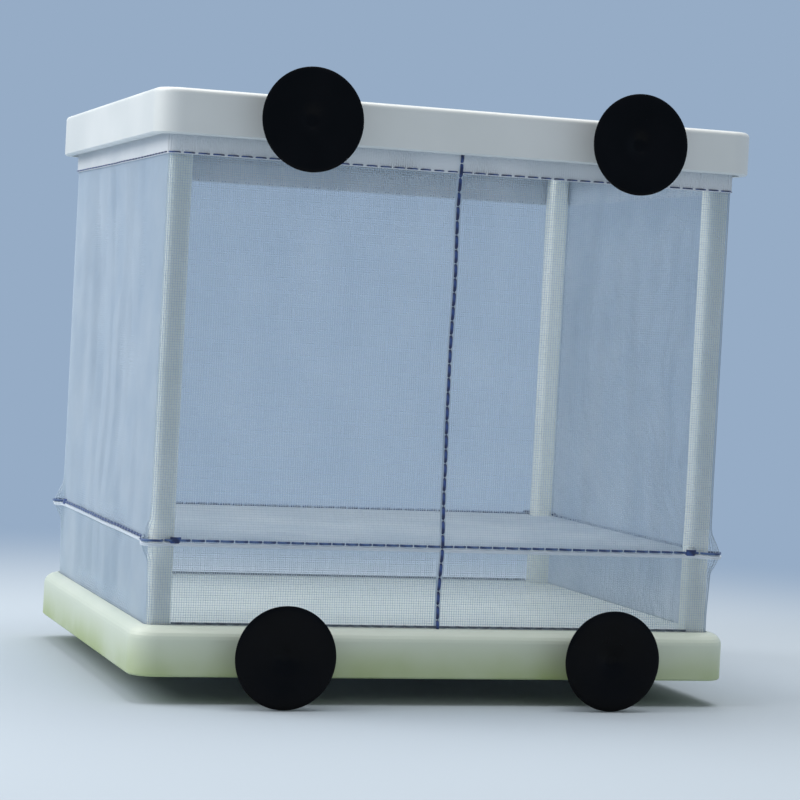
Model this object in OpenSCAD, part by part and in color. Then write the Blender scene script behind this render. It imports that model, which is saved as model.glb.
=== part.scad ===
// Net breeding box for an aquarium: a white moulded top frame and base joined by four
// corner posts, a fine net sewn round the posts with its own raised net floor, and four
// black suction cups on the front that hold the box against the inside of the glass.
//
// Frame of reference, in mm: X runs along the front, +Y from the glass into the tank and
// +Z up. The origin is in the plane of the glass, midway between the four suction cups.

/* [Box] */
// Width of the top frame and base, along the glass
box_w = 155; // [140:1:200]
// Depth of the top frame and base, away from the glass
box_d = 126; // [110:1:160]
// Height from the underside of the base to the top rim
box_h = 140; // [120:1:180]
// Plan radius of the outside corners
corner_r = 6; // [5:0.5:6.5]
// Thickness of the moulded walls
wall = 2; // [1.6:0.1:2.1]

/* [Top frame] */
// Height of the outer face of the top frame
top_h = 11; // [9:0.5:14]
// Width of the flat rim around the opening
rim_w = 9; // [8.8:0.1:12]
// Height of the wall around the opening
inner_h = 8; // [6:0.5:9]

/* [Base] */
// Height of the flat outer face of the base
base_face_h = 9; // [8:0.5:12]
// Height of the floor plate above the underside
floor_h = 12; // [11:0.5:15]
// Width of the ledge that carries the floor plate
ledge_w = 11; // [8:0.5:14]

/* [Posts] */
// Side of the square posts
post = 5.6; // [5:0.1:6]
// Radius along the edges of the posts
post_r = 1.4; // [0.8:0.1:1.8]
// Distance from a post's centre to the outer faces of the frame
post_inset = 7.4; // [7.3:0.1:7.8]
// Diameter of the spigot at each end of a post
spigot_d = 3.6; // [3:0.1:3.8]
// Length of a spigot
spigot_len = 5.5; // [4:0.5:5.5]
// Height of the sockets, from the underside of the base and from the top rim
socket_h = 8; // [7:0.5:9]

/* [Net] */
// Thickness of the net as a solid sheet
net_t = 0.5; // [0.3:0.1:0.6]
// Height of the net floor above the underside of the base
net_floor_h = 32; // [25:1:50]
// Diameter of the elastic cord in each hem
cord_d = 1; // [0.8:0.1:1.2]
// How far the sewn ears stand out at the corners
ear_len = 3; // [2:0.5:4]
// Openings across the front of the net, which stand for its fine mesh
net_cols = 8; // [8:2:12]
// Width of the bars between the openings
net_bar = 2; // [1.6:0.1:2.4]

/* [Suction cups] */
// Diameter of a suction cup
cup_d = 25; // [20:1:30]
// Distance between the left and right cups
cup_pitch = 84; // [70:1:100]
// Distance from a cup's axis to the top or bottom of the box
cup_edge = 6; // [5:0.5:6.5]
// Distance from the glass to the outer face of the box
standoff = 9; // [8:0.5:12]
// Diameter of the peg that carries a cup
peg_d = 4.4; // [4:0.1:5]

/* [Hidden] */
$fn = 96;

z_top = box_h / 2;
z_bottom = -box_h / 2;
y_front = standoff;
y_mid = standoff + box_d / 2;

// clearances
fit = 0.05;
slip = 0.1;

// places across the wall, as insets from the outer face
post_face = post_inset - post / 2;
net_in = post_face - slip;
net_out = net_in - net_t;
net_turn = post_face + post_r; // where the net turns around a post's edge
hem_out = wall + slip;
hem_in = net_in + fit;
hem_mid = (hem_out + hem_in) / 2;
lip_in = net_out - 0.3;
plate_edge = hem_in + slip;
notch = post_inset + post / 2 + 0.2;

hem_h = 2.6;
top_hem_z = z_top - wall - slip - hem_h / 2;
bottom_hem_z = z_bottom + wall + 3;
net_floor_z = z_bottom + net_floor_h;
floor_z = z_bottom + floor_h;
plate_t = 2;
skirt_t = 1.6;

seam_proud = 0.7;
seam_h = 1.4;
side_seam_w = 1.2;
side_seam_t = 0.35;

barb = 0.4;
barb_len = 1.2;
peg_len = 6;
neck_r = 4.6;
lip_r = 3;
dish = 1;
cup_back = standoff - 0.3;

corners = [[-1, -1], [1, -1], [-1, 1], [1, 1]];

// Rounded rectangle, centred on the origin.
module round_rect(w, d, r) {
    square([w - 2 * r, d], center = true);
    square([w, d - 2 * r], center = true);
    for (c = corners)
        translate([c[0] * (w / 2 - r), c[1] * (d / 2 - r)])
            circle(r = r);
}

// Plan of the box at an inset from its outer face.
module plan(inset, r) {
    round_rect(box_w - 2 * inset, box_d - 2 * inset, r);
}

// Upright band around the box between two insets.
module band(inset_out, inset_in, r_out, r_in, z0, z1) {
    translate([0, y_mid, z0])
        linear_extrude(z1 - z0)
            difference() {
                plan(inset_out, r_out);
                plan(inset_in, r_in);
            }
}

// Sweeps a profile, whose X is the inset and whose Y is the height, around the box.
// The corners turn about points that lie at inset r_turn from both outer faces.
module around(r_turn) {
    half_w = box_w / 2 - r_turn;
    half_d = box_d / 2 - r_turn;
    translate([0, y_mid, 0])
        for (q = [[0, half_w, half_d, 2 * half_d], [90, -half_w, half_d, 2 * half_w],
                  [180, -half_w, -half_d, 2 * half_d], [270, half_w, -half_d, 2 * half_w]]) {
            translate([q[1], q[2], 0])
                rotate([0, 0, q[0]]) {
                    rotate_extrude(angle = 90)
                        translate([r_turn, 0])
                            mirror([1, 0])
                                children();
                    rotate([90, 0, 0])
                        linear_extrude(q[3])
                            translate([r_turn, 0])
                                mirror([1, 0])
                                    children();
                }
        }
}

// Plain grid of openings, centred on the origin.
module grid(w, h, cols, rows) {
    for (i = [0:cols - 1], j = [0:rows - 1])
        translate([(i + 0.5) * w / cols - w / 2, (j + 0.5) * h / rows - h / 2])
            square([w / cols - net_bar, h / rows - net_bar], center = true);
}

// Places the children at each corner post.
module at_posts() {
    for (c = corners)
        translate([c[0] * (box_w / 2 - post_inset), y_mid + c[1] * (box_d / 2 - post_inset), 0])
            children();
}

// Peg on the outer face, with the small barb that keeps a cup on it.
module peg() {
    rotate([90, 0, 0]) {
        translate([0, 0, -wall / 2])
            cylinder(d = peg_d, h = peg_len + wall / 2);
        translate([0, 0, peg_len - barb_len])
            cylinder(r1 = peg_d / 2 + barb, r2 = peg_d / 2 - barb, h = barb_len);
    }
}

module pegs(z) {
    for (side = [-1, 1])
        translate([side * cup_pitch / 2, y_front, z])
            peg();
}

module top_frame() {
    edge = 1.2;
    color([0.91, 0.92, 0.91])
        difference() {
            union() {
                // outer face with its rounded upper edge
                around(corner_r)
                    polygon([[0, z_top - top_h + 0.4], [0, z_top - edge],
                             for (a = [15:15:75]) [edge - edge * cos(a), z_top - edge + edge * sin(a)],
                             [edge, z_top], [wall, z_top], [wall, z_top - top_h],
                             [0.4, z_top - top_h]]);
                // flat rim
                band(edge, rim_w, corner_r - edge, 2, z_top - wall, z_top);
                // wall around the opening
                band(rim_w - 1.6, rim_w, 3, 2, z_top - inner_h, z_top - wall / 2);
                // sockets for the posts
                at_posts()
                    translate([0, 0, z_top - socket_h])
                        linear_extrude(socket_h - wall / 2)
                            round_rect(post, post, post_r);
                pegs(z_top - cup_edge);
            }
            at_posts()
                translate([0, 0, z_top - socket_h - 1])
                    cylinder(d = spigot_d + 2 * fit, h = spigot_len + 1.3);
        }
}

module base_frame() {
    shoulder = lip_in;
    rise = floor_h - base_face_h;
    color([0.87, 0.89, 0.85])
        difference() {
            union() {
                // outer face, rounded shoulder, and the lip that traps the hem
                around(corner_r)
                    polygon([[0.4, z_bottom], [0, z_bottom + 0.4], [0, z_bottom + base_face_h],
                             for (a = [15:15:75])
                                 [shoulder * (1 - cos(a)), z_bottom + base_face_h + rise * sin(a)],
                             [shoulder, floor_z], [shoulder, floor_z - 1.2],
                             [wall, floor_z - 3], [wall, z_bottom]]);
                // ledge under the floor plate
                band(wall / 2, ledge_w, corner_r - wall / 2, 3, z_bottom, z_bottom + wall);
                // sockets for the posts
                at_posts()
                    translate([0, 0, z_bottom + wall / 2])
                        linear_extrude(socket_h - wall / 2)
                            round_rect(post, post, post_r);
                pegs(z_bottom + cup_edge);
            }
            at_posts()
                translate([0, 0, z_bottom + socket_h - spigot_len - 0.3])
                    cylinder(d = spigot_d + 2 * fit, h = spigot_len + 1.3);
        }
}

module base_plate() {
    color([0.92, 0.93, 0.92])
        difference() {
            union() {
                // floor
                translate([0, y_mid, floor_z - plate_t])
                    linear_extrude(plate_t)
                        plan(plate_edge, 1.5);
                // skirt that stands on the ledge
                band(plate_edge, plate_edge + skirt_t, 1.5, 0.5, z_bottom + wall, floor_z - plate_t / 2);
            }
            // corner notches around the posts
            for (c = corners)
                translate([c[0] * (box_w / 2 - notch / 2), y_mid + c[1] * (box_d / 2 - notch / 2), 0])
                    translate([0, 0, floor_z - floor_h / 2])
                        cube([notch, notch, floor_h + 2], center = true);
        }
}

module corner_post(side, end) {
    z0 = z_bottom + socket_h;
    z1 = z_top - socket_h;
    color([0.90, 0.92, 0.90])
        translate([side * (box_w / 2 - post_inset), y_mid + end * (box_d / 2 - post_inset), 0]) {
            translate([0, 0, z0])
                linear_extrude(z1 - z0)
                    round_rect(post, post, post_r);
            translate([0, 0, z0 - spigot_len])
                cylinder(d = spigot_d, h = z1 - z0 + 2 * spigot_len);
        }
}

// Hem: the net folded round its elastic cord, with the hollow that the cord lies in.
module hem(z) {
    hollow = cord_d / 2 + fit;
    difference() {
        band(hem_out, hem_in, net_turn - hem_out, net_turn - hem_in, z - hem_h / 2, z + hem_h / 2);
        band(hem_mid - hollow, hem_mid + hollow, net_turn - hem_mid + hollow,
             net_turn - hem_mid - hollow, z - hollow, z + hollow);
    }
}

// Bars that pass through two opposite sides of the net, above the net floor, and cut their
// openings.
module net_openings(across, reach, cols) {
    z0 = net_floor_z + 1;
    z1 = z_top - top_h - 0.5;
    translate([0, reach / 2, (z0 + z1) / 2])
        rotate([90, 0, 0])
            linear_extrude(reach)
                grid(across, z1 - z0, cols, net_cols - 2);
}

module net_wall() {
    across = 2 * (post_inset + post / 2 + 0.3);
    color([0.62, 0.71, 0.79]) {
        difference() {
            band(net_out, net_in, net_turn - net_out, net_turn - net_in,
                 bottom_hem_z + hem_h / 2, top_hem_z - hem_h / 2);
            translate([0, y_mid, 0]) {
                net_openings(box_w - across, box_d, net_cols);
                rotate([0, 0, 90])
                    net_openings(box_d - across, box_w, net_cols - 1);
            }
        }
        hem(top_hem_z);
        hem(bottom_hem_z);
    }
}

module hem_cord(z) {
    color([0.93, 0.94, 0.95])
        around(net_turn)
            translate([hem_mid, z])
                circle(d = cord_d);
}

module net_floor() {
    gap = net_in + slip;
    color([0.66, 0.74, 0.81])
        translate([0, y_mid, net_floor_z - net_t / 2])
            linear_extrude(net_t)
                difference() {
                    plan(gap, 1);
                    for (c = corners)
                        translate([c[0] * (box_w / 2 - notch / 2), c[1] * (box_d / 2 - notch / 2)])
                            square([notch, notch], center = true);
                }
}

// Tuck that joins the net floor to the wall, with an ear at each corner.
module floor_seam() {
    seam_out = net_out - fit - seam_proud;
    color([0.16, 0.24, 0.42]) {
        difference() {
            union() {
                band(seam_out, net_out - fit, net_turn - seam_out, net_turn - net_out + fit,
                     net_floor_z - seam_h / 2, net_floor_z + seam_h / 2);
                for (c = corners)
                    translate([c[0] * (box_w / 2 - net_turn), y_mid + c[1] * (box_d / 2 - net_turn),
                               net_floor_z])
                        rotate([0, 0, atan2(c[1], c[0])])
                            rotate([0, 90, 0])
                                translate([0, 0, net_turn - net_out])
                                    cylinder(r1 = 1.8, r2 = 0.3, h = ear_len);
            }
            translate([0, y_mid, net_floor_z - 5])
                linear_extrude(10)
                    plan(net_out - fit, net_turn - net_out + fit);
        }
    }
}

// Seam that closes the net into a loop, up the middle of the front.
module side_seam() {
    z0 = floor_z + 0.5;
    z1 = z_top - top_h + 3;
    y = y_front + net_out - fit - side_seam_t;
    color([0.16, 0.24, 0.42])
        difference() {
            translate([-side_seam_w / 2, y, z0])
                cube([side_seam_w, side_seam_t, z1 - z0]);
            translate([-side_seam_w, y - 1, net_floor_z - seam_h / 2 - fit])
                cube([2 * side_seam_w, 3, seam_h + 2 * fit]);
        }
}

// Suction cup: a shallow dish on a neck whose bore snaps over the peg.
module cup(side, end) {
    bore_r = peg_d / 2 + fit;
    barb_r = bore_r + barb;
    peg_tip = standoff - peg_len;
    barb_end = peg_tip + barb_len + fit;
    rim = cup_d / 2;
    dish_r = rim - lip_r;
    // radius of the sphere that hollows the dish
    ball_r = (dish_r * dish_r + dish * dish) / (2 * dish);
    ball_a = asin(dish_r / ball_r);
    color([0.03, 0.03, 0.04])
        translate([side * cup_pitch / 2, 0, end * (box_h / 2 - cup_edge)])
            rotate([-90, 0, 0])
                rotate_extrude()
                    polygon([for (i = [0:8]) [ball_r * sin(ball_a * i / 8),
                                              ball_r * cos(ball_a * i / 8) - ball_r + dish],
                             [rim - 0.2, 0], [rim, 0.25], [rim - 0.1, 0.6], [rim - 1.5, 1.25],
                             [rim - 4, 2.1], [rim - 6, 3.1], [neck_r + 0.5, 4.1],
                             [neck_r, 5], [neck_r, cup_back - 0.4], [neck_r - 0.4, cup_back],
                             [bore_r, cup_back], [bore_r, barb_end], [barb_r, barb_end],
                             [barb_r, peg_tip - 0.2], [0, peg_tip - 0.2]]);
}

top_frame();
base_frame();
base_plate();
corner_post(-1, -1);  // post_front_left
corner_post(1, -1);  // post_front_right
corner_post(-1, 1);  // post_rear_left
corner_post(1, 1);  // post_rear_right
net_wall();
net_floor();
side_seam();
floor_seam();
hem_cord(top_hem_z);  // top_hem_cord
hem_cord(bottom_hem_z);  // bottom_hem_cord
cup(-1, 1);  // cup_upper_left
cup(1, 1);  // cup_upper_right
cup(-1, -1);  // cup_lower_left
cup(1, -1);  // cup_lower_right
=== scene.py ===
import math

import bpy
from mathutils import Matrix, Vector, noise


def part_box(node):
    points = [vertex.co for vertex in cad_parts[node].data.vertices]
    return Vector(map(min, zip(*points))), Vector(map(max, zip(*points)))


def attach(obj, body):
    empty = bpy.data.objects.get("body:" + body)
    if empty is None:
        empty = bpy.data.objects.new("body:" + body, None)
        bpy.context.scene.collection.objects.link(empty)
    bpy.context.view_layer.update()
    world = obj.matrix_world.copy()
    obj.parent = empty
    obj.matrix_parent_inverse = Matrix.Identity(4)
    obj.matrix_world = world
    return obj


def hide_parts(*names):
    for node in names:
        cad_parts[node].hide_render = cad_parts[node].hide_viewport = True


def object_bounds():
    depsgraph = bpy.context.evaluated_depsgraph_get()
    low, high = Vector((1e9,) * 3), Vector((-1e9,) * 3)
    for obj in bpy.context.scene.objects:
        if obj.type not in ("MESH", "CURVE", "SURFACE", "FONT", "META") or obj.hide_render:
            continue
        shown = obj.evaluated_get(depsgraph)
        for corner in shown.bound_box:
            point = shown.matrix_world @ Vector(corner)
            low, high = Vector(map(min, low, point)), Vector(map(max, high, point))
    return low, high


# Net breeding box for an aquarium: white moulded frames and posts inside a sewn bag of fine
# net, held on the glass by four black suction cups. Everything is in metres, with the origin
# in the plane of the glass, +Y into the tank and +Z up.

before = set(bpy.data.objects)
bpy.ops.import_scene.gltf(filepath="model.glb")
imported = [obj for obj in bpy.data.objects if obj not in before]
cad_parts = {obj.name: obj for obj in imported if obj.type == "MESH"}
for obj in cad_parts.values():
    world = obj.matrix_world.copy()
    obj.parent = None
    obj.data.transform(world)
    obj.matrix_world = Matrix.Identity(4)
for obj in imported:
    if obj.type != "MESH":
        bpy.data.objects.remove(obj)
cad_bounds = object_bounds()
scene = bpy.context.scene
MM = 0.001

# ------------------------------------------------------------------------------------------
# Places, read from the frame
# ------------------------------------------------------------------------------------------
floor_lo, floor_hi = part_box("net_floor")
top_lo, top_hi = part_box("top_frame")
base_lo, base_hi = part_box("base_frame")
post_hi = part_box("post_front_left")[1]
plate_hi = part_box("base_plate")[1]

net_gap = 0.35 * MM                     # from the net floor's edge to the middle of the wall
net_x = floor_hi.x + net_gap            # half the width of the net wall
net_y0 = floor_lo.y - net_gap           # front of the net wall
net_y1 = floor_hi.y + net_gap           # rear of the net wall
net_turn = 1.75 * MM                    # radius of the net around a post's edge
floor_z = (floor_lo.z + floor_hi.z) / 2
wall_z0 = base_lo.z + 6.3 * MM          # the net meets its lower hem here
wall_z1 = top_hi.z - 4.7 * MM           # and its upper hem here
hem_half = 1.3 * MM
hem_out = 1.0 * MM                      # how far the middle of a hem lies outside the wall

# ------------------------------------------------------------------------------------------
# Small tools
# ------------------------------------------------------------------------------------------


def linear(hex_colour):
    """An sRGB hex colour as Blender's linear RGBA."""
    parts = [int(hex_colour[i:i + 2], 16) / 255 for i in (0, 2, 4)]
    return [c / 12.92 if c <= 0.04045 else ((c + 0.055) / 1.055) ** 2.4 for c in parts] + [1.0]


def add_node(tree, kind, inputs=None, links=None, **settings):
    """Adds a node, sets its settings and input values, and links its inputs from sockets."""
    node = tree.nodes.new(kind)
    for key, value in settings.items():
        setattr(node, key, value)
    for key, value in (inputs or {}).items():
        node.inputs[key].default_value = value
    for key, socket in (links or {}).items():
        tree.links.new(socket, node.inputs[key])
    return node


# At scale 1 a Wave Texture has about this many waves in a unit.
WAVE_UNIT = 6.3
# A Mix node has a set of sockets for each type that it can mix. These are the colour ones.
MIX_SHARE, MIX_FIRST, MIX_SECOND, MIX_RESULT = 0, 6, 7, 2


def new_material(name):
    """A material with an empty node tree, and the tree."""
    material = bpy.data.materials.new(name)
    material.use_nodes = True
    tree = material.node_tree
    tree.nodes.clear()
    return material, tree


def colour_ramp(tree, factor, stops):
    """Turns a factor into colours, from pairs of position and hex colour."""
    ramp = add_node(tree, "ShaderNodeValToRGB", links={"Fac": factor})
    elements = ramp.color_ramp.elements
    while len(elements) < len(stops):
        elements.new(0.5)
    for element, (position, colour) in zip(elements, stops):
        element.position = position
        element.color = linear(colour)
    return ramp.outputs["Color"]


def deselect_all():
    if bpy.context.mode != "OBJECT":
        bpy.ops.object.mode_set(mode="OBJECT")
    bpy.ops.object.select_all(action="DESELECT")


def make_active(piece):
    deselect_all()
    piece.select_set(True)
    bpy.context.view_layer.objects.active = piece


def dress(piece, material, body="box"):
    """Gives a finished piece its material and slot, and lets it ride on its body."""
    piece.data.materials.clear()
    piece.data.materials.append(material)
    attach(piece, body)
    return piece


# ------------------------------------------------------------------------------------------
# Materials
# ------------------------------------------------------------------------------------------
mould_grain = 0.4 * MM
shrink_wave = 28 * MM


def moulded_plastic(name, light, shade, roughness, low_tint=None, low_tint_z=(0, 1)):
    """Injection-moulded polypropylene: opaque and softly glossy, with a faint mould texture and
    hardly any change of tone. A low tint is a colour mixed in unevenly, more and more from the
    second height down to the first, so that the piece turns that colour towards its bottom."""
    material, tree = new_material(name)
    place = add_node(tree, "ShaderNodeTexCoord")
    mottle = add_node(tree, "ShaderNodeTexNoise", {"Scale": 38.0, "Detail": 3.0},
                      {"Vector": place.outputs["Object"]})
    colour = colour_ramp(tree, mottle.outputs["Fac"], [(0.3, shade), (0.7, light)])
    if low_tint:
        height = add_node(tree, "ShaderNodeSeparateXYZ", links={0: place.outputs["Object"]})
        tone_field = add_node(tree, "ShaderNodeMapRange",
                        {"From Min": low_tint_z[0], "From Max": low_tint_z[1], "To Min": 1.0,
                         "To Max": 0.0}, {"Value": height.outputs["Z"]},
                        interpolation_type="SMOOTHSTEP")
        uneven = add_node(tree, "ShaderNodeMath", {1: 1.8},
                          {0: mottle.outputs["Fac"]}, operation="MULTIPLY", use_clamp=True)
        share = add_node(tree, "ShaderNodeMath", links={0: tone_field.outputs["Result"],
                                                        1: uneven.outputs["Value"]},
                         operation="MULTIPLY")
        tint = add_node(tree, "ShaderNodeMix", {MIX_SECOND: linear(low_tint)},
                        {MIX_SHARE: share.outputs["Value"], MIX_FIRST: colour},
                        data_type="RGBA")
        colour = tint.outputs[MIX_RESULT]
    # the mould's spark-eroded grain
    grain = add_node(tree, "ShaderNodeTexNoise", {"Scale": 1 / mould_grain, "Detail": 2.0},
                     {"Vector": place.outputs["Object"]})
    # slow waves where the wall has shrunk
    sink = add_node(tree, "ShaderNodeTexNoise", {"Scale": 1 / shrink_wave, "Detail": 1.0},
                    {"Vector": place.outputs["Object"]})
    waves = add_node(tree, "ShaderNodeBump", {"Strength": 0.25, "Distance": 0.6 * MM},
                     {"Height": sink.outputs["Fac"]})
    bump = add_node(tree, "ShaderNodeBump", {"Strength": 0.10, "Distance": 0.05 * MM},
                    {"Height": grain.outputs["Fac"], "Normal": waves.outputs["Normal"]})
    gloss = add_node(tree, "ShaderNodeMapRange",
                     {"From Min": 0.3, "From Max": 0.7, "To Min": roughness - 0.05,
                      "To Max": roughness + 0.07}, {"Value": mottle.outputs["Fac"]})
    shader = add_node(tree, "ShaderNodeBsdfPrincipled",
                      {"IOR": 1.49, "Specular IOR Level": 0.45},
                      {"Base Color": colour, "Roughness": gloss.outputs["Result"],
                       "Normal": bump.outputs["Normal"]})
    add_node(tree, "ShaderNodeOutputMaterial", links={"Surface": shader.outputs["BSDF"]})
    return material


def nylon_net(name, light, shade):
    """Woven nylon thread: a soft sheen, and a little lighter and darker from place to
    place, as the net gathers dust and light unevenly."""
    material, tree = new_material(name)
    place = add_node(tree, "ShaderNodeTexCoord")
    patches = add_node(tree, "ShaderNodeTexNoise", {"Scale": 60.0, "Detail": 4.0},
                       {"Vector": place.outputs["Object"]})
    colour = colour_ramp(tree, patches.outputs["Fac"], [(0.32, shade), (0.68, light)])
    shader = add_node(tree, "ShaderNodeBsdfPrincipled",
                      {"IOR": 1.53, "Roughness": 0.55, "Sheen Weight": 0.2},
                      {"Base Color": colour})
    add_node(tree, "ShaderNodeOutputMaterial", links={"Surface": shader.outputs["BSDF"]})
    return material


def twisted_thread(name, light, shade, twist):
    """Twisted polyester thread or braid, whose strands show as fine slanting ridges. The twist
    is the length of thread from one ridge to the next."""
    material, tree = new_material(name)
    place = add_node(tree, "ShaderNodeTexCoord")
    strands = add_node(tree, "ShaderNodeTexWave",
                       {"Scale": 1 / twist / WAVE_UNIT, "Distortion": 0.6},
                       {"Vector": place.outputs["Object"]}, bands_direction="DIAGONAL")
    # painted shade: the grooves between the strands are coloured darker than their crowns
    colour = colour_ramp(tree, strands.outputs["Fac"], [(0.2, shade), (0.9, light)])
    bump = add_node(tree, "ShaderNodeBump", {"Strength": 0.5, "Distance": 0.08 * MM},
                    {"Height": strands.outputs["Fac"]})
    shader = add_node(tree, "ShaderNodeBsdfPrincipled",
                      {"IOR": 1.5, "Roughness": 0.6, "Sheen Weight": 0.3},
                      {"Base Color": colour, "Normal": bump.outputs["Normal"]})
    add_node(tree, "ShaderNodeOutputMaterial", links={"Surface": shader.outputs["BSDF"]})
    return material


def cup_rubber(name):
    """Black moulded rubber: deep black with a soft, slightly uneven shine."""
    material, tree = new_material(name)
    place = add_node(tree, "ShaderNodeTexCoord")
    tone_field = add_node(tree, "ShaderNodeTexNoise", {"Scale": 90.0, "Detail": 5.0},
                    {"Vector": place.outputs["Object"]})
    colour = colour_ramp(tree, tone_field.outputs["Fac"], [(0.3, "020203"), (0.75, "07070A")])
    gloss = add_node(tree, "ShaderNodeMapRange",
                     {"From Min": 0.3, "From Max": 0.7, "To Min": 0.26, "To Max": 0.42},
                     {"Value": tone_field.outputs["Fac"]})
    bump = add_node(tree, "ShaderNodeBump", {"Strength": 0.15, "Distance": 0.05 * MM},
                    {"Height": tone_field.outputs["Fac"]})
    shader = add_node(tree, "ShaderNodeBsdfPrincipled",
                      {"IOR": 1.52, "Specular IOR Level": 0.09},
                      {"Base Color": colour, "Roughness": gloss.outputs["Result"],
                       "Normal": bump.outputs["Normal"]})
    add_node(tree, "ShaderNodeOutputMaterial", links={"Surface": shader.outputs["BSDF"]})
    return material


sewing_twist = 0.9 * MM                 # coarser than real thread's, so that it shows
braid_twist = 1.2 * MM

white_plastic = moulded_plastic("moulded_white_polypropylene", "E9ECEA", "E1E5E2", 0.36)
# the base turns yellow-green, more and more towards its bottom
base_plastic = moulded_plastic("moulded_base_polypropylene", "E2EADF", "D8E2D3", 0.38,
                               "A3B573", (base_lo.z - 2 * MM, base_hi.z + 1 * MM))
# the posts' and the base plate's own pale green-white, painted lighter than the frame's plastic:
# painted light, for the light that falls on them inside the box
post_plastic = moulded_plastic("moulded_pale_polypropylene_painted_lighter", "F4F9F4", "EBF2EC", 0.34)
net_nylon = nylon_net("woven_nylon_net", "C8D6E3", "BBCCDC")
floor_nylon = nylon_net("woven_nylon_floor_net", "E4ECF4", "D6E1EC")
# near white: partly the net folded double, partly painted light, lighter than the net wall for
# the light that shines through the folded hem from inside the box
cloth_edge = nylon_net("folded_nylon_edge", "EDF0F2", "E2E7EA")
seam_thread = twisted_thread("navy_sewing_thread", "34508C", "1B2C58", sewing_twist)
# dark grey thread for the line just above the base: painted shadow, where the gap between the
# base plate and its lip lies in shade
shadow_line_thread = twisted_thread("grey_thread_painted_shadow", "5F6C78", "454F5C", sewing_twist)
floor_seam_blue = twisted_thread("faded_navy_sewing_thread", "4D6896", "2C426E",
                                 sewing_twist)
braided_elastic = twisted_thread("braided_elastic", "E6E7E6", "C9CCCD", braid_twist)
black_rubber = cup_rubber("moulded_black_rubber")

# ------------------------------------------------------------------------------------------
# The net's shape
# ------------------------------------------------------------------------------------------
half_front = net_x - net_turn
half_side = (net_y1 - net_y0) / 2 - net_turn
mid_y = (net_y0 + net_y1) / 2
quarter = math.pi / 2 * net_turn
sides = [half_front, quarter, 2 * half_side, quarter, 2 * half_front, quarter, 2 * half_side,
         quarter, half_front]
perimeter = sum(sides)
corner_places = [half_front + quarter / 2, half_front + 1.5 * quarter + 2 * half_side,
                 3 * half_front + 2.5 * quarter + 2 * half_side,
                 3 * half_front + 3.5 * quarter + 4 * half_side]


def loop_point(along, out=0.0):
    """Place in plan at a length along the net, from the middle of the front to the right.
    Returns the point, moved outwards by out, and the outward direction."""
    along %= perimeter
    turns = [(half_front, net_y0 + net_turn, -90), (half_front, net_y1 - net_turn, 0),
             (-half_front, net_y1 - net_turn, 90), (-half_front, net_y0 + net_turn, 180)]
    for i, length in enumerate(sides):
        if along <= length or i == len(sides) - 1:
            break
        along -= length
    side = i // 2
    if i % 2:
        cx, cy, start = turns[side]
        angle = math.radians(start) + along / net_turn
        normal = Vector((math.cos(angle), math.sin(angle), 0))
        point = Vector((cx, cy, 0)) + normal * net_turn
    else:
        normal = [Vector((0, -1, 0)), Vector((1, 0, 0)), Vector((0, 1, 0)),
                  Vector((-1, 0, 0)), Vector((0, -1, 0))][side]
        start = [Vector((0, net_y0, 0)), Vector((net_x, net_y0 + net_turn, 0)),
                 Vector((half_front, net_y1, 0)), Vector((-net_x, net_y1 - net_turn, 0)),
                 Vector((-half_front, net_y0, 0))][side]
        forward = Vector((-normal.y, normal.x, 0))
        point = start + forward * along
    return point + normal * out, normal


def to_corner(along):
    """Distance along the net to the nearest corner."""
    return min(abs((along - c + perimeter / 2) % perimeter - perimeter / 2)
               for c in corner_places)


def bell(x, width):
    """1 at 0, and falling to nothing past the width on both sides."""
    return math.exp(-(x / width) ** 2)


def drift(along, z, length, height, layer):
    """Smooth chance waves over the wall, of about a length and a height."""
    return noise.noise(Vector((along / length, z / height, layer)))


ear_out = 2.9 * MM
ear_half_width = 2.3 * MM
ear_half_height = 3.7 * MM


def ear(along, z):
    """How far the net stands out where the floor's corner is sewn into it."""
    return (ear_out * bell(to_corner(along), ear_half_width)
            * bell(z - floor_z, ear_half_height))


def ease(x):
    """0 below 0 and 1 above 1, with a smooth rise between."""
    x = max(0.0, min(1.0, x))
    return x * x * (3 - 2 * x)


slack_above = 1.5 * MM                  # how far the net hangs in above the floor
slack_below = 0.9 * MM                  # and below it
post_hold = 45 * MM                     # a post holds the net taut over this length
edge_hold = 9 * MM                      # and the plate and the top frame over this height
gather_depth = 0.22 * MM
gather_width = 3.1 * MM
gather_reach = 11 * MM                  # how far the gathers reach from the hems


def net_offset(along, z):
    """How far the net stands out of its flat plan: slack between the posts, small gathers
    at its edges, and the ears at the floor's corners. It lies flat where it passes the base
    plate's edge and where it runs up into the top frame."""
    free = ease(to_corner(along) / post_hold)
    free *= ease((z - plate_hi.z) / edge_hold) * ease((top_lo.z + 1 * MM - z) / edge_hold)
    above = max(0.0, min(1.0, (z - floor_z) / (wall_z1 - floor_z)))
    below = max(0.0, min(1.0, (floor_z - z) / (floor_z - wall_z0)))
    slack = -slack_above * free * math.sin(math.pi * above)
    slack -= slack_below * free * math.sin(math.pi * below)
    ripple = drift(along, z, 9 * MM, 40 * MM, 3.7) * 0.45 * MM
    ripple += drift(along, z, 26 * MM, 19 * MM, 9.1) * 0.5 * MM
    edge = min(wall_z1 - z, z - wall_z0)
    gather = gather_depth * math.sin(along / gather_width) * bell(edge, gather_reach)
    return slack + free * (ripple + gather) + ear(along, z)


def net_point(along, z, out=0.0):
    """A point on the net wall, moved outwards by out."""
    wander = drift(along, z, 17 * MM, 23 * MM, 5.5) * 0.35 * MM
    point, normal = loop_point(along + wander * min(1.0, to_corner(along) / (8 * MM)))
    return point + normal * (net_offset(along, z) + out) + Vector((0, 0, z))


THREE_SIDED = 3                         # enough for a thread that is a fraction of a pixel wide


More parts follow.
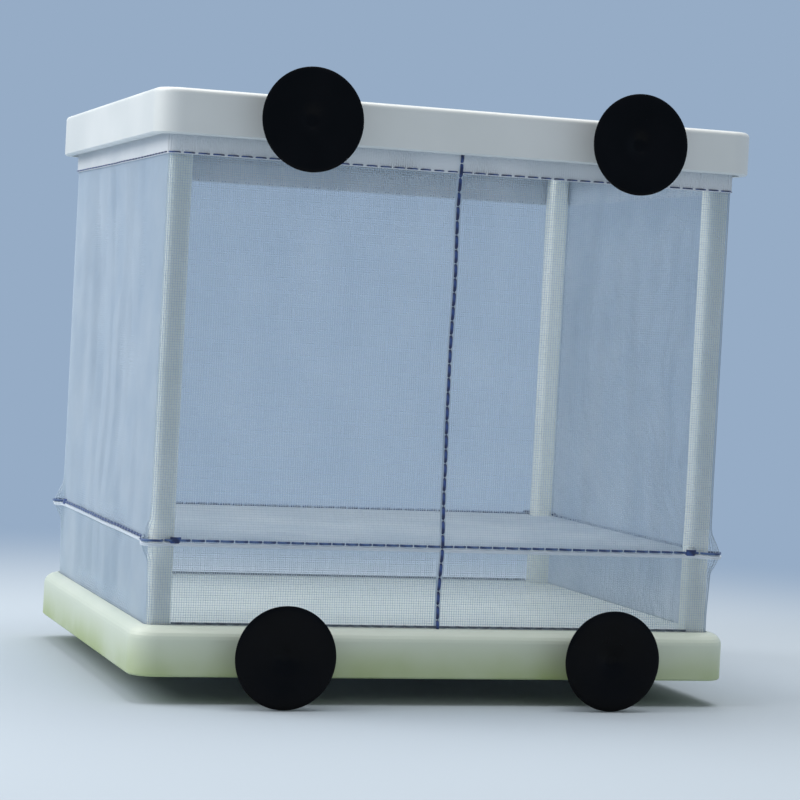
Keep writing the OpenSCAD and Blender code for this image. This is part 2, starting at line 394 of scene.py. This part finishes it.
def lay_threads(name, lines, width, ring=8, depth=None):
    """Lays a thread along each line, with closed ends, and returns them all as one piece.
    A line is its points, the outward direction at each, and whether it closes on itself.
    Width is across that direction, and depth along it. Ring is the number of its sides."""
    depth = depth or width
    places, faces = [], []
    for points, normals, closed in lines:
        first, count = len(places), len(points)
        for i, (point, normal) in enumerate(zip(points, normals)):
            before = points[i - 1] if i or closed else point
            after = points[(i + 1) % count] if i + 1 < count or closed else point
            along = (after - before).normalized()
            side = along.cross(normal).normalized()
            up = side.cross(along)
            for k in range(ring):
                angle = math.pi * (2 * k + 1) / ring
                places.append(point + width / 2 * math.cos(angle) * side
                              + depth / 2 * math.sin(angle) * up)
        for i in range(count if closed else count - 1):
            a, b = first + i * ring, first + (i + 1) % count * ring
            faces += [(a + k, b + k, b + (k + 1) % ring, a + (k + 1) % ring)
                      for k in range(ring)]
        if not closed:
            last = first + (count - 1) * ring
            faces.append(tuple(first + k for k in range(ring)))
            faces.append(tuple(last + k for k in reversed(range(ring))))
    mesh = bpy.data.meshes.new(name)
    mesh.from_pydata(places, [], faces)
    piece = bpy.data.objects.new(name, mesh)
    scene.collection.objects.link(piece)
    if ring > 4:
        make_active(piece)
        bpy.ops.object.shade_smooth_by_angle(angle=math.radians(60))
    return piece


def round_line(z, out=0.0):
    """A level line all the way round the net at a height, with its outward directions."""
    stops = along_stops()[::-1]
    return [net_point(a, z, out) for a in stops], [loop_point(a)[1] for a in stops], True


def upright_line(along, heights, out=0.0):
    """An upright line down the net, with its outward directions."""
    points = [net_point(along, z, out) for z in reversed(heights)]
    return points, [loop_point(along)[1]] * len(heights), False


# A fry net's openings are near 0.5 mm. Each thread passes over and under the others, so the
# room it takes is deeper than wide.
net_pitch = 0.6 * MM
net_thread = 0.10 * MM
net_depth = 0.23 * MM
weave = 0.04 * MM                       # how far each direction of thread lies off the middle
stop_length = 10 * MM                   # between points along a level thread
ear_side = 3.5 * MM                     # and from a corner to the point beside its ear
turn_steps = 3                          # pieces in which it goes round a post's edge
wall_steps = 12                         # pieces in which an upright thread goes down the wall


def along_stops():
    """Lengths along the net at which a level thread is given a point."""
    stops = []
    start = 0.0
    for i, length in enumerate(sides):
        steps = turn_steps if i % 2 else max(1, round(length / stop_length))
        stops += [start + length * k / steps for k in range(steps)]
        start += length
    return sorted(stops + [c + s for c in corner_places for s in (-ear_side, ear_side)])


def net_threads(z0, z1, rows, steps, out=0.0, shift=0.0):
    """Level and upright threads of the net between two heights. Shift moves the upright
    ones by a share of the pitch."""
    columns = round(perimeter / net_pitch)
    lines = [round_line(z0 + (r + 0.5) * (z1 - z0) / rows, out - weave) for r in range(rows)]
    heights = [z0 + (z1 - z0) * k / steps for k in range(steps + 1)]
    near_ear = sorted(heights + [floor_z + k * MM for k in (-5, -2.5, 0, 2.5, 5)
                                 if z0 < floor_z + k * MM < z1])
    for c in range(columns):
        along = (c + 0.5 + shift) * perimeter / columns
        at_ear = to_corner(along) < 2 * ear_side
        lines.append(upright_line(along, near_ear if at_ear else heights, out + weave))
    return lines


def make_net_wall():
    """The strip of net round the posts, from hem to hem."""
    rows = round((wall_z1 - wall_z0) / net_pitch)
    wall = lay_threads("net_wall_cloth", net_threads(wall_z0, wall_z1, rows, wall_steps),
                       net_thread, THREE_SIDED, net_depth)
    dress(wall, net_nylon)
    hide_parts("net_wall")
    return wall


net_wall = make_net_wall()

# ------------------------------------------------------------------------------------------
# Net floor
# ------------------------------------------------------------------------------------------
notch = post_hi.x + floor_hi.x + 0.3 * MM   # width cut out of each corner for its post
floor_thread_width = 0.22 * MM          # the floor is seen from above: its threads lie flat
floor_thread_height = 0.12 * MM
floor_weave = 0.12 * MM                 # between the two layers of thread
floor_steps = 16                        # pieces in which a thread crosses the floor
floor_drop = 1.3 * MM
floor_wave = 22 * MM


def floor_sag(x, y):
    """How far the floor hangs down between its sewn edges, with slow waves."""
    u = x / floor_hi.x
    v = (y - mid_y) / (floor_hi.y - mid_y)
    wave = drift(x, y, floor_wave, floor_wave, 1.3) * 0.7 * MM
    return (wave - floor_drop) * (1 - u ** 4) * (1 - v ** 4)


def make_net_floor():
    """Threads along X and along Y, cut short where the posts stand."""
    lines = []
    for axis in (0, 1):
        lo, hi = floor_lo[axis], floor_hi[axis]
        other_lo, other_hi = floor_lo[1 - axis], floor_hi[1 - axis]
        count = round((hi - lo) / net_pitch)
        for k in range(count + 1):
            at = lo + (hi - lo) * k / count
            cut = notch if min(at - lo, hi - at) < notch else 0.0
            a, b = other_lo + cut, other_hi - cut
            points = []
            for i in range(floor_steps + 1):
                other = a + (b - a) * i / floor_steps
                x, y = (at, other) if axis == 0 else (other, at)
                layer = (axis - 0.5) * floor_weave
                points.append(Vector((x, y, floor_z + floor_sag(x, y) + layer)))
            lines.append((points, [Vector((0, 0, 1))] * len(points), False))
    sheet = lay_threads("net_floor_cloth", lines, floor_thread_width, THREE_SIDED,
                        floor_thread_height)
    dress(sheet, floor_nylon)
    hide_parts("net_floor")
    return sheet


net_floor = make_net_floor()

# ------------------------------------------------------------------------------------------
# Seams
# ------------------------------------------------------------------------------------------
stitch_len = 2.8 * MM
stitch_gap = 0.7 * MM
stitch_dip = 0.3 * MM                   # how deep a stitch's ends go into the cloth
tack_len = 2.3 * MM
stitch_height = floor_z + 0.35 * MM     # the floor seam's stitches run here
# thickness of each seam's thread, drawn thicker than the real one where it has to show
floor_thread_size = 0.68 * MM
tack_thread_size = 0.6 * MM
side_thread_size = 0.8 * MM
top_hem_thread_size = 0.35 * MM
low_shadow_thread_size = 0.6 * MM


def stitch(place, normal, start, rise, length=stitch_len):
    """One stitch: it dips into the cloth at both ends and stands proud between. Place gives
    a point from a length along the seam and a height out of the cloth."""
    shares = (0.0, 0.1, 0.3, 0.7, 0.9, 1.0)
    lift = (-stitch_dip, 0.5 * rise, rise, rise, 0.5 * rise, -stitch_dip)
    points = [place(start + length * s, up) for s, up in zip(shares, lift)]
    return points, [normal] * len(points), False


def round_stitches(z, out, rise):
    """A row of stitches all the way round the net at a height."""
    count = round(perimeter / (stitch_len + stitch_gap))
    step = perimeter / count
    return [stitch(lambda a, up: net_point(a, z, out + up), loop_point((k + 0.4) * step)[1],
                   k * step, rise) for k in range(count)]


def make_floor_seam():
    """The floor's edge, tucked in and sewn to the wall: two folds with the stitches above."""
    tuck = lay_threads("floor_seam_tuck",
                       [round_line(floor_z - 0.40 * MM, 0.15 * MM),
                        round_line(floor_z - 0.85 * MM, 0.10 * MM)], 0.55 * MM)
    dress(tuck, floor_nylon)
    lines = round_stitches(stitch_height, 0.30 * MM, 0.15 * MM)
    thread = lay_threads("floor_seam_thread", lines, floor_thread_size, 6)
    dress(thread, floor_seam_blue)
    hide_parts("floor_seam")
    return tuck, thread


def make_bar_tacks():
    """Close stitches that hold the net floor at both sides of each post, where its corner is
    cut away."""
    lines = []
    for corner in corner_places:
        for side in (-1, 1):
            start = corner + side * (notch + quarter / 2 - net_turn) - tack_len / 2
            for row in (-1, 0, 1):
                height = stitch_height + 0.5 * row * MM
                lines.append(stitch(lambda a, up: net_point(a, height, 0.35 * MM + up),
                                    loop_point(start)[1], start + 0.15 * row * MM, 0.25 * MM,
                                    tack_len))
    tacks = lay_threads("floor_seam_tacks", lines, tack_thread_size, 6)
    return dress(tacks, seam_thread)


def make_side_seam():
    """The seam that closes the strip of net: a welt of two folds, sewn down its middle."""
    top = top_lo.z + 2 * MM
    bottom = base_hi.z - 1 * MM
    heights = [bottom + (top - bottom) * k / 2 / wall_steps for k in range(2 * wall_steps + 1)]
    welt = lay_threads("side_seam_welt", [upright_line(side * 0.4 * MM, heights, 0.15 * MM)
                                          for side in (-1, 1)], 0.6 * MM)
    dress(welt, net_nylon)
    count = round((top - bottom) / (stitch_len + stitch_gap))
    step = (top - bottom) / count
    lines = [stitch(lambda z, up: net_point(0.0, z, 0.5 * MM + up), loop_point(0.0)[1],
                    bottom + k * step, 0.2 * MM) for k in range(count)]
    thread = lay_threads("side_seam_thread", lines, side_thread_size, 6)
    dress(thread, seam_thread)
    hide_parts("side_seam")
    return welt, thread


floor_tuck, floor_thread = make_floor_seam()
floor_tacks = make_bar_tacks()
side_welt, side_thread = make_side_seam()


def make_hem(name, z):
    """The net folded round its elastic cord: a soft roll all the way round."""
    stops = along_stops()
    points = [loop_point(a, hem_out)[0] + Vector((0, 0, z)) for a in stops]
    roll = lay_threads(name, [(points, [loop_point(a)[1] for a in stops], True)], 2.1 * MM, 12)
    return dress(roll, cloth_edge)


fold_drop = 4.4 * MM                    # how far the upper hem shows below the top frame
fold_rows, fold_steps = 32, 2           # its level threads, and the pieces of an upright one


def make_hem_fold():
    """The net's upper edge, folded down over itself and sewn just below the top frame."""
    low = top_lo.z - fold_drop
    threads = net_threads(low, wall_z1, fold_rows, fold_steps, 0.35 * MM, 0.5)
    fold = lay_threads("top_hem_fold", threads, 5 * net_thread, THREE_SIDED, net_depth)
    # the fold's near-white colour is partly painted light, for light shining through it from
    # inside
    dress(fold, cloth_edge)
    lines = round_stitches(low + 0.3 * MM, 0.5 * MM, 0.1 * MM)
    stitch_row = lay_threads("top_hem_sewing", lines, top_hem_thread_size, 5)
    dress(stitch_row, seam_thread)
    return fold, stitch_row


def make_bottom_shadow_stitches():
    """A row of dark grey stitches on the net just above the base, between the posts on the front
    and the rear. Painted shadow: a dark thread put where the gap between the base plate and the
    base's lip lies in shade.
    """
    reach = -post_hi.x
    count = round(2 * reach / stitch_len)
    step = 2 * reach / count
    lines = []
    for middle in (0.0, perimeter / 2):
        for k in range(count):
            lines.append(stitch(lambda a, up: net_point(a, base_hi.z + 0.4 * MM, 0.2 * MM + up),
                                loop_point(middle)[1], middle - reach + k * step, 0.1 * MM,
                                0.96 * step))
    stitch_row = lay_threads("bottom_shadow_stitches", lines, low_shadow_thread_size, 6)
    return dress(stitch_row, shadow_line_thread)


hem_fold, hem_sewing = make_hem_fold()
low_shadow_stitches = make_bottom_shadow_stitches()
top_hem = make_hem("top_hem_roll", wall_z1 + hem_half)
bottom_hem = make_hem("bottom_hem_roll", wall_z0 - hem_half)

# ------------------------------------------------------------------------------------------
# Suction cups
# ------------------------------------------------------------------------------------------
# Outline of a cup from the middle of its dish, out over the lip and back to its bore, as
# pairs of radius and distance from the glass, in mm.
cup_outline = [(1.0, 1.55), (1.9, 1.35), (2.3, 0.98), (5.0, 0.72), (7.6, 0.36), (9.4, 0.02),
               (11.4, 0.0), (12.2, 0.02), (12.5, 0.26), (12.45, 0.6), (11.9, 0.95), (11.0, 1.3),
               (8.6, 2.05), (6.8, 2.95), (5.5, 3.95), (4.75, 4.9), (4.6, 5.8), (4.6, 6.4),
               (5.0, 6.7), (5.0, 7.4), (4.6, 7.7), (4.55, 8.3), (4.2, 8.65), (2.45, 8.68),
               (2.3, 8.5), (2.3, 4.4)]


def make_cup(node):
    """A suction cup, drawn out of a small disc ring by ring and set on its peg."""
    lo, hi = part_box(node)
    centre = (lo + hi) / 2
    first_radius, first_height = cup_outline[0]
    deselect_all()
    bpy.ops.mesh.primitive_circle_add(vertices=72, radius=first_radius * MM, fill_type="NGON",
                                      location=(0, 0, first_height * MM))
    cup = bpy.context.active_object
    cup.name = node + "_rubber"
    bpy.ops.object.transform_apply(location=True, rotation=False, scale=False)
    bpy.ops.object.mode_set(mode="EDIT")
    bpy.ops.mesh.select_mode(type="EDGE")
    bpy.ops.mesh.select_all(action="SELECT")
    bpy.ops.mesh.inset(thickness=0.45 * MM)
    bpy.ops.mesh.select_all(action="DESELECT")
    bpy.ops.mesh.select_non_manifold()
    for (r0, h0), (r1, h1) in zip(cup_outline, cup_outline[1:]):
        bpy.ops.mesh.extrude_region_move(
            TRANSFORM_OT_translate={"value": (0, 0, (h1 - h0) * MM)})
        bpy.ops.transform.resize(value=(r1 / r0, r1 / r0, 1))
    bpy.ops.mesh.edge_face_add()
    bpy.ops.mesh.select_all(action="SELECT")
    bpy.ops.mesh.normals_make_consistent(inside=False)
    bpy.ops.object.mode_set(mode="OBJECT")
    cup.data.transform(Matrix.Translation((centre.x, lo.y, centre.z))
                       @ Matrix.Rotation(math.radians(-90), 4, "X"))
    make_active(cup)
    bpy.ops.object.shade_smooth_by_angle(angle=math.radians(50))
    dress(cup, black_rubber, body=node)
    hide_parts(node)
    return cup


for cup_node in ("cup_upper_left", "cup_upper_right", "cup_lower_left", "cup_lower_right"):
    make_cup(cup_node)

# ------------------------------------------------------------------------------------------
# Moulded pieces, straight from the frame
# ------------------------------------------------------------------------------------------
finishes = {"top_frame": white_plastic, "base_plate": post_plastic, "base_frame": base_plastic,
            "top_hem_cord": braided_elastic, "bottom_hem_cord": braided_elastic}
for name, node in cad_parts.items():
    material = finishes.get(name, post_plastic if name.startswith("post_") else None)
    if material:
        node.data.materials.clear()
        node.data.materials.append(material)

# ------------------------------------------------------------------------------------------
# Floor, lights and camera
# ------------------------------------------------------------------------------------------
backdrop_tone = "96ACC6"
paper_tone = "BAC5CF"
paper_near, paper_far = 0.18, 0.50      # metres from the middle over which the paper fades


def studio_paper(name, colour, far_colour):
    """Pale paper. It takes the object's shadow near it, and further off it shows one even
    tone, the same as the world's, so that the floor has no far edge. It is clear from
    below, so that the object's underside can be seen."""
    material, tree = new_material(name)
    place = add_node(tree, "ShaderNodeTexCoord")
    reach = add_node(tree, "ShaderNodeVectorMath", links={"Vector": place.outputs["Object"]},
                     operation="LENGTH")
    away = add_node(tree, "ShaderNodeMapRange",
                    {"From Min": paper_near, "From Max": paper_far, "To Min": 0.0,
                     "To Max": 1.0},
                    {"Value": reach.outputs["Value"]}, interpolation_type="SMOOTHSTEP")
    paper = add_node(tree, "ShaderNodeBsdfDiffuse", {"Color": linear(colour)})
    even = add_node(tree, "ShaderNodeEmission", {"Color": linear(far_colour), "Strength": 1.0})
    mix = add_node(tree, "ShaderNodeMixShader",
                   links={0: away.outputs["Result"], 1: paper.outputs["BSDF"],
                          2: even.outputs["Emission"]})
    clear = add_node(tree, "ShaderNodeBsdfTransparent")
    face = add_node(tree, "ShaderNodeNewGeometry")
    one_sided = add_node(tree, "ShaderNodeMixShader",
                         links={0: face.outputs["Backfacing"], 1: mix.outputs["Shader"],
                                2: clear.outputs["BSDF"]})
    add_node(tree, "ShaderNodeOutputMaterial", links={"Surface": one_sided.outputs["Shader"]})
    return material


floor_clearance = 0.2 * MM              # below the lower cups

deselect_all()
bpy.ops.mesh.primitive_plane_add(size=8, location=(0, 0, cad_bounds[0].z - floor_clearance))
studio_floor = bpy.context.active_object
studio_floor.name = "studio_floor"
studio_floor.data.materials.append(studio_paper("pale_paper", paper_tone, backdrop_tone))

world = bpy.data.worlds.new("studio")
scene.world = world
world.use_nodes = True
world_tree = world.node_tree
world_tree.nodes.clear()
light_path = add_node(world_tree, "ShaderNodeLightPath")
seen = light_path.outputs["Is Camera Ray"]
for kind in ("Is Glossy Ray", "Is Transmission Ray"):
    seen = add_node(world_tree, "ShaderNodeMath", links={0: seen, 1: light_path.outputs[kind]},
                    operation="MAXIMUM").outputs["Value"]
sky = add_node(world_tree, "ShaderNodeBackground", {"Color": linear("FFFFFF"), "Strength": 0.35})
backdrop = add_node(world_tree, "ShaderNodeBackground",
                    {"Color": linear(backdrop_tone), "Strength": 1.0})
world_mix = add_node(world_tree, "ShaderNodeMixShader",
                     links={0: seen, 1: sky.outputs["Background"],
                            2: backdrop.outputs["Background"]})
add_node(world_tree, "ShaderNodeOutputWorld", links={"Surface": world_mix.outputs["Shader"]})


def softbox(name, place, target, size, power):
    """A white area light of a size in metres and a power in watts, turned to a target."""
    light = bpy.data.lights.new(name, "AREA")
    light.shape = "RECTANGLE"
    light.size, light.size_y = size
    light.energy = power
    lamp = bpy.data.objects.new(name, light)
    scene.collection.objects.link(lamp)
    lamp.location = place
    lamp.rotation_euler = (Vector(target) - Vector(place)).to_track_quat("-Z", "Y").to_euler()


box_middle = (0.0, 0.072, 0.0)
softbox("key_left", (-0.55, 0.10, 0.42), box_middle, (0.55, 0.55), 3.3)
softbox("top_light", (0.1, 0.15, 1.1), box_middle, (0.9, 0.9), 10.3)

camera_data = bpy.data.cameras.new("camera")
camera = bpy.data.objects.new("camera", camera_data)
scene.collection.objects.link(camera)
scene.camera = camera
camera_data.lens = 115.0
camera_data.clip_start = 0.01
camera.location = (-0.2055, -0.5836, 0.0168)
yaw, pitch, roll = math.radians(17.9), math.radians(-1.7), math.radians(3.0)
camera.rotation_mode = "QUATERNION"
turn = Matrix.Rotation(-yaw, 4, "Z") @ Matrix.Rotation(math.pi / 2 + pitch, 4, "X")
camera.rotation_quaternion = (turn @ Matrix.Rotation(roll, 4, "Z")).to_quaternion()

scene.view_settings.view_transform = "Standard"
